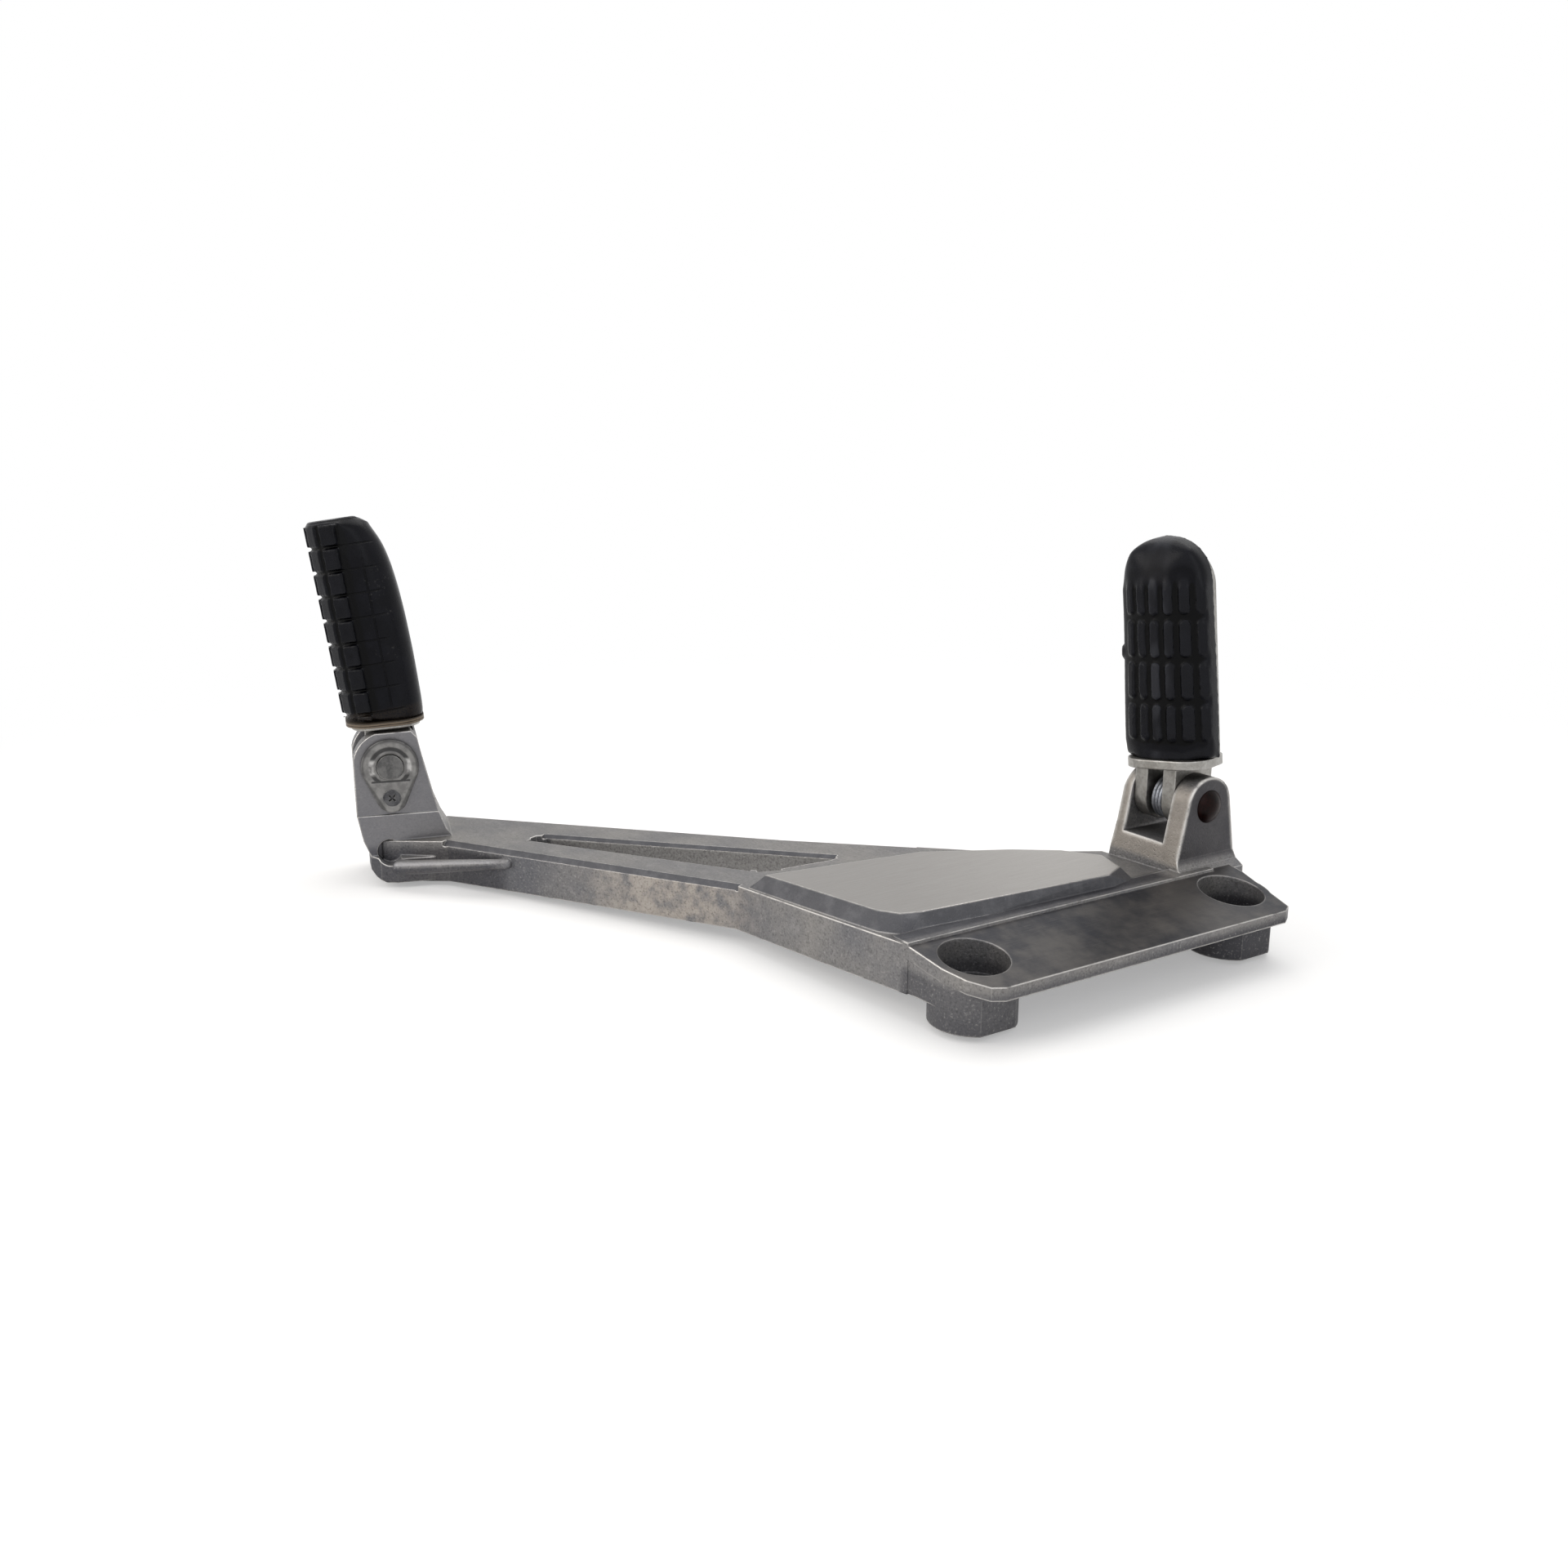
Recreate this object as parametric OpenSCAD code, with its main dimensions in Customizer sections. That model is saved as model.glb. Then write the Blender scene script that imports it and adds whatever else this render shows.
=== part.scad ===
// Motorcycle footrest bracket: one aluminium casting that carries a sprung
// rider peg at one end and a detented passenger peg at the other.
// The origin lies midway between the two mounting bosses, on their faces.
// X runs from the arm to the free edge of the flange, Y along the hole row
// towards the rider peg, and Z outboard along the pegs.

/* [Mounting flange] */
// Distance between the two mounting holes
hole_spacing = 130; // [115:1:145]
// Radius of a mounting boss
boss_r = 16; // [15.5:0.1:17]
// Distance from the hole axis to the flat on the boss
boss_flat = 14; // [13.6:0.1:15]
// Radius of the counterbore for the bolt head
counterbore_r = 12.8; // [11:0.1:13]
// Height of the counterbore floor above the boss face
counterbore_floor = 12; // [9:0.5:13]
// Radius of the bolt hole
bolt_hole_r = 5.25; // [4:0.05:6.5]
// Distance from the hole row to the free edge of the flange
flange_edge = 21; // [19:0.5:24]
// Height of the flange floor over the hole row
flange_h = 23.2; // [22:0.1:25]
// Slope of the flange floor, in degrees
flange_fall = 9.6; // [8:0.1:11]
// Thickness of the flange
flange_t = 5; // [4:0.1:6]

/* [Arm and pad] */
// Slope of the arm towards its foot, in degrees
arm_pitch = 2; // [1.5:0.1:2.2]
// Height of the arm's lower edge at the hole row
skirt_z = 8; // [7:0.1:9]
// Depth of the arm's side walls
arm_h = 18.5; // [17:0.1:20]
// Thickness of the side walls and ribs
wall_t = 4.5; // [3.5:0.1:5.5]
// Thickness of the top skin
skin_t = 4.5; // [3.5:0.1:6]
// Height of the raised pad above the arm's top
pad_rise = 5.9; // [4:0.1:7]
// Chamfer along the arm's upper edges
edge_chamfer = 2.2; // [1:0.1:3]
// Chamfer round the tapered slot
slot_chamfer = 1.6; // [0.8:0.1:2.4]

/* [Rider peg] */
// Height of the rider hinge above the boss faces
rider_pivot_z = 51.3; // [50:0.1:54]
// Radius of the rounded ear tops
ear_r = 12; // [11:0.1:12.4]
// Width of the gap between the ears
clevis_gap = 22; // [20:0.1:24]
// Thickness of an ear at the pin
ear_t = 9; // [7.5:0.1:10]
// Radius of the rider hinge pin
rider_pin_r = 5; // [4.4:0.05:5.5]
// Thickness of one leg of the peg core
leg_t = 6.4; // [5.6:0.1:7]
// Length of the rider rubber
rider_rubber_l = 89; // [80:1:98]
// Width of the rider rubber
rider_rubber_w = 36.6; // [32:0.2:40]
// Turn of the tread away from the hinge, in degrees
rider_tread_turn = 15; // [8:1:22]
// Backward sweep of the rider peg, in degrees
rider_sweep = 6.2; // [3:0.1:7]

/* [Passenger peg] */
// Height of the passenger hinge above the boss faces
pass_pivot_z = 51.8; // [50:0.1:53]
// Depth of the upright along the hinge
upright_d = 34; // [32:0.5:38]
// Thickness of the outer ear
pass_ear_t = 9; // [8:0.1:10]
// Width of the gap for the tongue
pass_gap = 16; // [14:0.1:17]
// Radius of the tongue's round end
tongue_r = 11; // [10:0.1:11.4]
// Radius of the passenger hinge pin
pass_pin_r = 6; // [5:0.05:6.5]
// Length of the passenger rubber
pass_rubber_l = 92; // [84:1:98]
// Lean of the passenger peg towards its tread, in degrees
pass_lean = 7.1; // [5:0.1:8]
// Height of the peg's shoulder above the passenger hinge
shoulder_h = 16.3; // [16.1:0.1:18]

/* [Fits] */
// Running clearance round a pin
pin_fit = 0.05; // [0.03:0.01:0.1]
// Clearance between faces that slide past each other
side_gap = 0.3; // [0.2:0.05:0.5]

/* [Hidden] */
$fn = 48;

// Heights and outlines of the casting
arm_top = skirt_z + arm_h;
ridge_x = -15;
ridge_z = 26.8;
land_w = 9;
flange_back = 83;
flange_front = -hole_spacing / 2 - boss_r;
flange_tan = tan(flange_fall);

// The front outline runs from the foot to the front boss, the back outline
// from the rider clevis to the foot, all in the plane of the arm
front_edge = [[-243, -166.4], [-111, -95.3], [-62, -89], [ridge_x, flange_front - 1.4]];
back_edge = [[-61, 56], [-86, 20], [-113, -4], [-157, -43.8], [-287, -148]];
arm_outline = concat(front_edge, [[ridge_x, 56]], back_edge, [[-295, -176], [-262, -190]]);
slot_outline = [[-223, -134.4], [-226.6, -133.6], [-228.4, -130], [-226.8, -125.8], [-122.6, -39.8],
    [-118.4, -40.6], [-117.4, -44], [-119, -70], [-121.6, -76.6], [-126, -80]];
pad_outline = [[-98.6, -88], [-38, -78.5], [-30, -74], [-27, -66], [-20.5, 20], [-26, 31],
    [-42, 37], [-57, 28.5], [-70, 13], [-89, -19]];
pad_foot = [[-106, -94.6], [-62, -88.6], [-30, -83.8], [-21.5, -78], [ridge_x - 4, 24], [-22, 38],
    [-42, 44], [-62, 35], [-76, 18], [-96, -17]];
pocket_a = [[-233, -155], [-202, -137.6], [-112, -90], [-104, -84], [-104, -14], [-115, -10],
    [-160, -52], [-255, -128], [-262, -140]];
pocket_b = [[-98, -88], [-64, -83.4], [-24, -77.4], [-24, 40], [-62, 46], [-84, 14], [-98, -6]];
slot_wall = 4;

// Rider hinge
clevis_x = -40.5;
rider_pivot_y = 72.5;
clevis_floor = 36;
clevis_front = 55.4;
clevis_back = 89.5;
ear_right = clevis_x + clevis_gap / 2 + ear_t;
tail_ear_t = 4.2;
tail_seat = clevis_gap / 2 + tail_ear_t;
ear_left = clevis_x - tail_seat - 0.3;
washer_t = 1.4;
split_r = 1.15;
split_x = tail_seat + washer_t + side_gap + split_r;
leg_x = clevis_gap / 2 - side_gap;
leg_r = 10.5;
collar_z = 14;
collar_t = 3.6;
rider_base = collar_z + collar_t;
rider_shift = 2.5;
core_t = 4.5;
pad_t = 12;
pin_head_r = 6.8;
pin_head_h = 3;
sleeve_r = 7;
spring_wire = 1.8;
rider_screw_rows = [24, 60];
rider_screw_x = 10;

// Passenger hinge, in a frame turned about Z with its X along the hinge
pass_turn = -15.6;
pass_x = -259.3;
pass_y = -185.1;
step_z = 29.7;
step_d = 0.8;
gap_front = -step_d - pass_ear_t;
gap_back = gap_front - pass_gap;
tongue_t = pass_gap - 2 * side_gap - 1;
tongue_mid = gap_front - side_gap - tongue_t / 2;
floor_gap = 0.6;
shoulder_t = 1.4;
shoulder_lean = 2.7;
base_t = 2;
cam_r = shoulder_h - 0.4;
pass_sweep = 4;
pass_base_y = 3.4;
bar_end = 62;
bar_w = 14;
bar_d = 11;
bolt_r = 3;
bolt_seat = pass_rubber_l - 12;
tear_t = 2;
tear_r = 12.4;
tear_foot_r = 6.6;
lock_screw_z = pass_pivot_z - 14.2;
ball_r = 3;
ball_z = -tongue_r - ball_r + 1.3;
pass_fold = 85;
track_side = asin((ball_r + side_gap) / -ball_z) + 2;
detent_wire_r = 0.45;
detent_turns = 10;
detent_floor = ball_z - ball_r - detent_turns * detent_wire_r * 1.96 - 0.5;

module flange_side(top, bottom) {
    // Side view of the sloping flange, drawn across its whole width
    rotate([90, 0, 0])
        translate([0, 0, -flange_back - 10])
            linear_extrude(2 * flange_back + 30)
                polygon([[ridge_x - 2, flange_h + top - (ridge_x - 2) * flange_tan],
                    [flange_edge + 4, flange_h + top - (flange_edge + 4) * flange_tan],
                    [flange_edge + 4, bottom], [ridge_x - 2, bottom]]);
}

module flange_plan() {
    corner = 8;
    polygon([[ridge_x - 2, flange_front - 1.6], [2, flange_front], [12, flange_front + 3],
        [flange_edge - 2, flange_front + corner], [flange_edge, flange_front + corner + 5],
        [flange_edge, flange_back - 10.5], [flange_edge - 2.2, flange_back - 6.6],
        [-10, flange_back], [ridge_x - 2, flange_back]]);
}

module boss_plan() {
    intersection() {
        circle(r = boss_r, $fn = 64);
        translate([-2 * boss_r, -2 * boss_r])
            square([2 * boss_r + boss_flat, 4 * boss_r]);
    }
}

module flange() {
    intersection() {
        flange_side(0, 0);
        union() {
            difference() {
                linear_extrude(40)
                    flange_plan();
                flange_side(-flange_t, -10);
            }
            for (side = [-1, 1])
                translate([0, side * hole_spacing / 2, 0])
                    linear_extrude(40)
                        boss_plan();
            // Front skirt between the arm and the front boss
            translate([0, 0, skirt_z])
                linear_extrude(30)
                    polygon([[ridge_x - 3, flange_front - 1.4], [0, flange_front],
                        [0, flange_front + wall_t], [ridge_x - 3, flange_front + wall_t - 1.4]]);
        }
    }
}

module ridge() {
    translate([ridge_x - land_w, flange_front - 1.4, skirt_z])
        cube([land_w, flange_back - flange_front - 10, ridge_z - skirt_z]);
}

module edge_cut(a, b, z, c) {
    // Chamfers the upper edge between two plan points. The cutter reaches a
    // little past both faces, so that its corners lie clear of the metal.
    run = norm(b - a);
    past = 0.4;
    translate([a[0], a[1], z])
        rotate([0, 0, atan2(b[1] - a[1], b[0] - a[0])])
            translate([-c, 0, 0])
                rotate([45, 0, 0])
                    translate([0, -c * sqrt(0.5) - past, -c * sqrt(0.5)])
                        cube([run + 2 * c, c * sqrt(2) + 2 * past, c * sqrt(2)]);
}

module arm_ribs() {
    for (x = [-195, -165])
        translate([x, -160, 0])
            cube([wall_t - 1, 150, 40]);
    for (y = [-50, -5])
        translate([-110, y, 0])
            cube([100, wall_t - 1, 40]);
    translate([-64, -95, 0])
        cube([wall_t - 1, 150, 40]);
}

module arm_body() {
    rotate([0, -arm_pitch, 0])
        difference() {
            union() {
                translate([0, 0, skirt_z])
                    linear_extrude(arm_h)
                        polygon(arm_outline);
                hull() {
                    translate([0, 0, arm_top - 2])
                        linear_extrude(0.1)
                            polygon(pad_foot);
                    translate([0, 0, arm_top + pad_rise - 0.1])
                        linear_extrude(0.1)
                            polygon(pad_outline);
                }
            }
            difference() {
                translate([0, 0, skirt_z - 20]) {
                    linear_extrude(arm_h + 20 - skin_t) {
                        polygon(pocket_a);
                        polygon(pocket_b);
                    }
                    linear_extrude(arm_h + 20 - skin_t + pad_rise)
                        offset(delta = -skin_t)
                            polygon(pad_outline);
                }
                translate([0, 0, skirt_z + 3])
                    arm_ribs();
                translate([0, 0, skirt_z - 1])
                    linear_extrude(arm_h)
                        offset(delta = slot_wall)
                            polygon(slot_outline);
            }
            translate([0, 0, skirt_z - 20])
                linear_extrude(arm_h + 40)
                    polygon(slot_outline);
            edge_cut(front_edge[0], front_edge[1], arm_top, edge_chamfer);
            for (i = [2 : 3])
                edge_cut(back_edge[i], back_edge[i + 1], arm_top, edge_chamfer / 2);
            for (i = [3, 7, 9])
                edge_cut(slot_outline[i], slot_outline[(i + 1) % 10], arm_top, slot_chamfer);
        }
}

module clevis_side() {
    // Side view of the clevis: two flared sides under a round top
    rise = rider_pivot_z + 1.5;
    rotate([90, 0, 90]) {
        translate([0, 0, -80])
            linear_extrude(80)
                union() {
                    translate([rider_pivot_y, rider_pivot_z])
                        circle(r = ear_r, $fn = 96);
                    polygon([[clevis_front - 2, skirt_z], [clevis_front, 28],
                        [rider_pivot_y - ear_r + 0.1, rise], [rider_pivot_y + ear_r - 0.1, rise],
                        [clevis_back, 26], [clevis_back + 1, skirt_z]]);
                }
    }
}

module clevis() {
    difference() {
        intersection() {
            clevis_side();
            rotate([90, 0, 0])
                translate([0, 0, -100])
                    linear_extrude(60)
                        polygon([[ear_left - 1.6, skirt_z], [ear_left - 0.8, 28], [ear_left, 40],
                            [ear_left, rider_pivot_z + 2], [ear_left + 1.8, 65],
                            [ear_right, 65], [ear_right, 31], [ear_right + 1.4, 27.5],
                            [ear_right + 5, 25], [ear_right + 5, skirt_z]]);
        }
        translate([clevis_x - clevis_gap / 2, 40, clevis_floor])
            cube([clevis_gap, 60, 60]);
        translate([ear_left - 10, rider_pivot_y, rider_pivot_z])
            rotate([0, 90, 0])
                cylinder(r = rider_pin_r + pin_fit, h = 80);
        // Spot face for the washer at the pin's tail
        rider_hinge()
            bar_x(9.5, -tail_seat - 10, -tail_seat);
        // The block is cored out from below
        translate([ear_left + 3, clevis_front + wall_t + 1, 0])
            cube([ridge_x - land_w - ear_left - 3, clevis_back - clevis_front - 2 * wall_t - 1,
                clevis_floor - skin_t - 1.5]);
    }
}

module pass_frame() {
    translate([pass_x, pass_y, 0])
        rotate([0, 0, pass_turn])
            children();
}

module pass_hinge() {
    pass_frame()
        translate([0, 0, pass_pivot_z])
            children();
}

module bar_x(r, from, to) {
    translate([from, 0, 0])
        rotate([0, 90, 0])
            cylinder(r = r, h = to - from);
}

module upright() {
    // Side view, seen along the hinge: left edge, round foot, flared right edge
    pass_frame()
        difference() {
            union() {
                translate([-upright_d, 0, 0])
                    rotate([90, 0, 90])
                        linear_extrude(upright_d)
                            difference() {
                                polygon([[-14, pass_pivot_z + 14.6], [-15.5, pass_pivot_z + 12.2],
                                    [-15.7, 30], [-13.6, 18], [-10, 9], [-6, 3], [-1, 0], [16, 0],
                                    [24, 6], [27, 14], [22.6, 22], [19.7, 30],
                                    [14.6, pass_pivot_z + 1.2], [12.6, pass_pivot_z + 12.2],
                                    [10, pass_pivot_z + 15.3]]);
                                // The ears are rounded where the shoulder swings past
                                translate([0, pass_pivot_z])
                                    difference() {
                                        translate([-30, 0])
                                            square(30);
                                        circle(r = cam_r, $fn = 96);
                                    }
                            }
                // Foot that carries the end of the rod-like rib
                translate([-upright_d, 0, 0])
                    intersection() {
                        linear_extrude(11)
                            polygon([[0, -8], [24, -11.5], [33, -11], [39, -7], [41.5, 0], [42, 22], [0, 30]]);
                        rotate([90, 0, 90])
                            linear_extrude(80)
                                polygon([[-12.5, 11], [-12, 6], [-9, 2], [-5, 0], [40, 0], [40, 11]]);
                    }
            }
            // The hinge face is machined down to a step
            translate([-step_d, -30, step_z])
                cube([10, 60, 60]);
            // Gap for the tongue, with a round floor
            translate([gap_back, 0, pass_pivot_z]) {
                rotate([0, 90, 0])
                    cylinder(r = tongue_r + floor_gap, h = pass_gap, $fn = 96);
                translate([0, -30, -tongue_r - floor_gap])
                    cube([pass_gap, 30, 40]);
                translate([0, -1, 0])
                    cube([pass_gap, tongue_r + floor_gap + 1, 40]);
            }
            translate([0, 0, pass_pivot_z]) {
                bar_x(pass_pin_r + pin_fit, -60, 10);
                // Blind hole for the detent ball and its spring
                translate([tongue_mid, 0, detent_floor])
                    cylinder(r = ball_r + 0.15, h = -detent_floor - tongue_r);
            }
            translate([0, 0, lock_screw_z])
                bar_x(2.05, gap_front + 2, 5);
            // The foot is cored out from below
            translate([-upright_d + wall_t, -8, -1])
                cube([upright_d - 2.4 * wall_t, 22, step_z - 10]);
            // End-mill run-out above the rib
            translate([-3, -2.7, 13])
                bar_x(5.2, 0, 20);
        }
}

module foot_rib() {
    // Round rib from the foot along the front wall
    a = [-250, -186.4, 7.6];
    b = [-213, -150.6, 13.2];
    run = b - a;
    translate(a) {
        rotate([0, acos(run[2] / norm(run)), atan2(run[1], run[0])])
            cylinder(r1 = 3.4, r2 = 2.2, h = norm(run), $fn = 32);
        sphere(r = 3.4, $fn = 32);
    }
    translate(b)
        sphere(r = 2.2, $fn = 32);
}

module mount_holes() {
    for (side = [-1, 1])
        translate([0, side * hole_spacing / 2, 0]) {
            translate([0, 0, -1])
                cylinder(r = bolt_hole_r, h = 60);
            translate([0, 0, counterbore_floor])
                cylinder(r = counterbore_r, h = 60, $fn = 96);
        }
}

module bracket() {
    color("darkgray")
        difference() {
            union() {
                arm_body();
                ridge();
                flange();
                clevis();
                upright();
                foot_rib();
            }
            mount_holes();
        }
}

module rider_hinge() {
    translate([clevis_x, rider_pivot_y, rider_pivot_z])
        children();
}

module rider_peg_frame() {
    // Leans the peg back, then turns it so that its tread faces local -Y
    rider_hinge()
        translate([rider_shift, 0, 0])
            rotate([0, 0, rider_tread_turn])
                rotate([0, -rider_sweep, 0])
                    translate([0, 0, rider_base])
                        children();
}

module tongue_plan(w, d, back, r) {
    // Rounded section with its tread side towards -Y
    hull()
        for (x = [-w / 2 + r, w / 2 - r], y = [-d + r, back - r])
            translate([x, y])
                circle(r = r, $fn = 32);
}

module rider_peg_core() {
    plate_w = rider_rubber_w - 1.4;
    color("silver")
        difference() {
            union() {
                rider_hinge()
                    for (side = [-1, 1])
                        translate([side * (leg_x - leg_t / 2) - leg_t / 2, 0, 0]) {
                            rotate([0, 90, 0])
                                cylinder(r = leg_r, h = leg_t);
                            translate([0, -leg_r, 0])
                                cube([leg_t, 2 * leg_r, collar_z + 0.4]);
                        }
                rider_peg_frame() {
                    translate([0, 0, -collar_t])
                        linear_extrude(collar_t)
                            tongue_plan(plate_w + 0.6, 14, 13.5, 10);
                    difference() {
                        linear_extrude(rider_rubber_l - 3)
                            translate([-plate_w / 2, 0])
                                square([plate_w, core_t]);
                        round_end(plate_w, rider_rubber_l - 3);
                    }
                    // Stiffening rib behind the plate
                    rotate([90, 0, 90])
                        translate([0, 0, -4])
                            linear_extrude(8)
                                polygon([[core_t - 0.5, 0], [12, 0], [11, 20],
                                    [7, 60], [core_t - 0.5, 76]]);
                }
            }
            rider_hinge()
                bar_x(rider_pin_r + pin_fit, -30, 30);
            rider_peg_frame()
                for (z = rider_screw_rows)
                    translate([rider_screw_x, 0, z])
                        rotate([-90, 0, 0])
                            translate([0, 0, -1])
                                cylinder(r = 3 + pin_fit, h = 30);
        }
}

module rider_ridge(l, w, h) {
    // One raised tread ridge with round ends, standing along Z
    rotate([90, 0, 0])
        linear_extrude(h) {
            translate([-w / 2, w / 2])
                square([w, l - w]);
            for (z = [w / 2, l - w / 2])
                translate([0, z])
                    circle(r = w / 2, $fn = 16);
        }
}

module dome_cut(w, d, z) {
    // One slice of the rubber, lying against the core's plate
    translate([-w / 2, -d, z])
        cube([w, d - 0.02, 0.1]);
}

module round_end(w, l) {
    // Everything past the semicircle that ends a bar of width w
    translate([0, 20, l - w / 2])
        rotate([90, 0, 0])
            difference() {
                translate([-w, 0, 0])
                    cube([2 * w, w, 40]);
                cylinder(r = w / 2, h = 40, $fn = 96);
            }
}

module rider_peg_rubber() {
    w = rider_rubber_w;
    l = rider_rubber_l;
    crown = 30;
    row_h = 16.9;
    ridge_w = 3.6;
    ridge_turn = 11.6;
    pattern_turn = 4;
    color([0.08, 0.08, 0.09])
        rider_peg_frame()
            difference() {
                union() {
                    intersection() {
                        // The outer end is domed in width and in depth
                        hull() {
                            dome_cut(w, pad_t, 0);
                            for (t = [0, 0.3, 0.5, 0.7, 0.84, 0.94, 1])
                                dome_cut(w * (0.04 + 0.96 * sqrt(1 - t * t)),
                                    pad_t * (0.2 + 0.8 * sqrt(1 - t * t)), l - w / 2 + t * w / 2 - 0.1);
                        }
                        translate([0, crown - pad_t, -1])
                            cylinder(r = crown, h = l + 10, $fn = 96);
                    }
                    for (row = [0 : 3], col = [-2.5 : 2.5])
                        translate([0, crown - pad_t, 8 + row * row_h])
                            rotate([0, 0, col * ridge_turn + pattern_turn])
                                translate([0, -crown + 0.9, 0])
                                    rider_ridge(row_h - 2.6, ridge_w, 1.8);
                }
                for (z = rider_screw_rows)
                    translate([rider_screw_x, 0, z])
                        rotate([90, 0, 0])
                            translate([0, 0, -1])
                                cylinder(r = 3 + pin_fit, h = 8);
            }
}

module rider_rubber_screws() {
    color("dimgray")
        rider_peg_frame()
            for (z = rider_screw_rows)
                translate([rider_screw_x, 0, z])
                    rotate([-90, 0, 0]) {
                        translate([0, 0, -6.5])
                            cylinder(r = 3, h = core_t + 8.1);
                        difference() {
                            translate([0, 0, core_t + 1.2])
                                cylinder(r = 5, h = 3.4, $fn = 6);
                            translate([0, 0, core_t + 3.6])
                                cylinder(r = 2, h = 2, $fn = 6);
                        }
                    }
}

module rider_screw_washers() {
    color("gray")
        rider_peg_frame()
            for (z = rider_screw_rows)
                translate([rider_screw_x, core_t, z])
                    rotate([-90, 0, 0])
                        difference() {
                            cylinder(r = 6, h = 1.2);
                            translate([0, 0, -1])
                                cylinder(r = 3 + pin_fit, h = 4);
                        }
}

module rider_pivot_pin() {
    // Domed head on the outer face, cross hole for the split pin at the tail
    tail = split_x + 2.4;
    dome = (pin_head_r * pin_head_r + pin_head_h * pin_head_h) / (2 * pin_head_h);
    color([0.3, 0.12, 0.08])
        rider_hinge()
            difference() {
                union() {
                    bar_x(rider_pin_r, -tail, clevis_gap / 2 + ear_t + 0.5);
                    translate([ear_right - clevis_x, 0, 0])
                        rotate([0, 90, 0])
                            intersection() {
                                cylinder(r = pin_head_r, h = pin_head_h + 1, $fn = 64);
                                translate([0, 0, pin_head_h - dome])
                                    sphere(r = dome, $fn = 96);
                            }
                }
                translate([-split_x, 0, -10])
                    cylinder(r = split_r + 0.1, h = 20);
            }
}

module rider_pin_washer() {
    color("gray")
        rider_hinge()
            difference() {
                bar_x(8.5, -tail_seat - washer_t, -tail_seat);
                bar_x(rider_pin_r + pin_fit, -tail_seat - 3, 0);
            }
}

module rider_split_pin() {
    color("darkgray")
        rider_hinge()
            translate([-split_x, 0, 0]) {
                translate([0, 0, -8])
                    cylinder(r = split_r, h = 15);
                translate([0, 0, 8.6])
                    rotate([0, 90, 0])
                        rotate_extrude($fn = 32)
                            translate([1.9, 0])
                                circle(r = 0.9, $fn = 16);
            }
}

module rider_spring_sleeve() {
    inner = leg_x - leg_t - side_gap;
    color("slategray")
        rider_hinge()
            difference() {
                bar_x(sleeve_r, -inner, inner);
                bar_x(rider_pin_r + pin_fit, -20, 20);
            }
}

module rider_return_spring() {
    // Close-wound turns, each a ring, with one leg up to the peg and one down
    turns = 4;
    pitch = 0.99 * spring_wire;
    leg_wire_r = 0.45 * spring_wire;
    coil_r = sleeve_r + side_gap + spring_wire / 2 + 0.4;
    color([0.2, 0.23, 0.28])
        rider_hinge() {
            for (i = [0 : turns - 1])
                translate([(i - (turns - 1) / 2) * pitch, 0, 0])
                    rotate([0, 90, 0])
                        rotate_extrude($fn = 64)
                            translate([coil_r, 0])
                                circle(r = spring_wire / 2, $fn = 16);
            translate([-pitch * 1.5, coil_r, 0])
                cylinder(r = leg_wire_r, h = collar_z - 0.8, $fn = 16);
            translate([pitch * 1.5, coil_r, clevis_floor + 0.2 - rider_pivot_z])
                cylinder(r = leg_wire_r, h = rider_pivot_z - clevis_floor - 0.2, $fn = 16);
        }
}

module pass_peg_frame() {
    pass_hinge()
        translate([tongue_mid, 0, 0])
            rotate([pass_lean, -pass_sweep, 0])
                translate([0, 0, shoulder_h])
                    children();
}

module pass_shoulder_frame() {
    // The shoulder lies along the flat tops of the ears
    pass_hinge()
        translate([tongue_mid, 0, 0])
            rotate([shoulder_lean, 0, 0])
                translate([0, 0, shoulder_h])
                    children();
}

module pass_section(w, lo, hi, r) {
    // Rounded section with its knobbed tread side towards -Y
    hull()
        for (x = [-w / 2 + r, w / 2 - r], y = [lo + r, hi - r])
            translate([x, y])
                circle(r = r, $fn = 32);
}

module bar_section(extra) {
    translate([-bar_w / 2 - extra, pass_base_y - bar_d / 2 - extra])
        square([bar_w + 2 * extra, bar_d + 2 * extra]);
}

module passenger_peg_core() {
    color("silver")
        difference() {
            union() {
                pass_hinge()
                    translate([tongue_mid - tongue_t / 2, 0, 0]) {
                        rotate([0, 90, 0])
                            cylinder(r = tongue_r, h = tongue_t, $fn = 96);
                        translate([0, -9.5, 0])
                            cube([tongue_t, 19, shoulder_h + 0.4]);
                    }
                pass_shoulder_frame()
                    linear_extrude(shoulder_t)
                        pass_section(29, -14, 15.5, 9);
                pass_peg_frame()
                    linear_extrude(bar_end)
                        bar_section(0);
            }
            pass_hinge() {
                bar_x(pass_pin_r + pin_fit, -60, 10);
                // Track in which the detent ball runs as the peg folds
                translate([tongue_mid, 0, 0])
                    rotate([0, 90, 0])
                        rotate([0, 0, -pass_fold - track_side])
                            rotate_extrude(angle = pass_fold + 2 * track_side, $fn = 96)
                                translate([-ball_z, 0])
                                    circle(r = ball_r + side_gap, $fn = 32);
            }
            pass_peg_frame()
                translate([0, pass_base_y, bar_end - 16])
                    cylinder(r = bolt_r + pin_fit, h = 20);
        }
}

module passenger_base_plate() {
    color([0.42, 0.34, 0.26])
        difference() {
            pass_shoulder_frame()
                translate([0, 0, shoulder_t])
                    linear_extrude(base_t)
                        pass_section(32, -16.4, 17.6, 12);
            pass_peg_frame()
                translate([0, 0, -4])
                    linear_extrude(20)
                        bar_section(pin_fit);
        }
}

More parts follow.
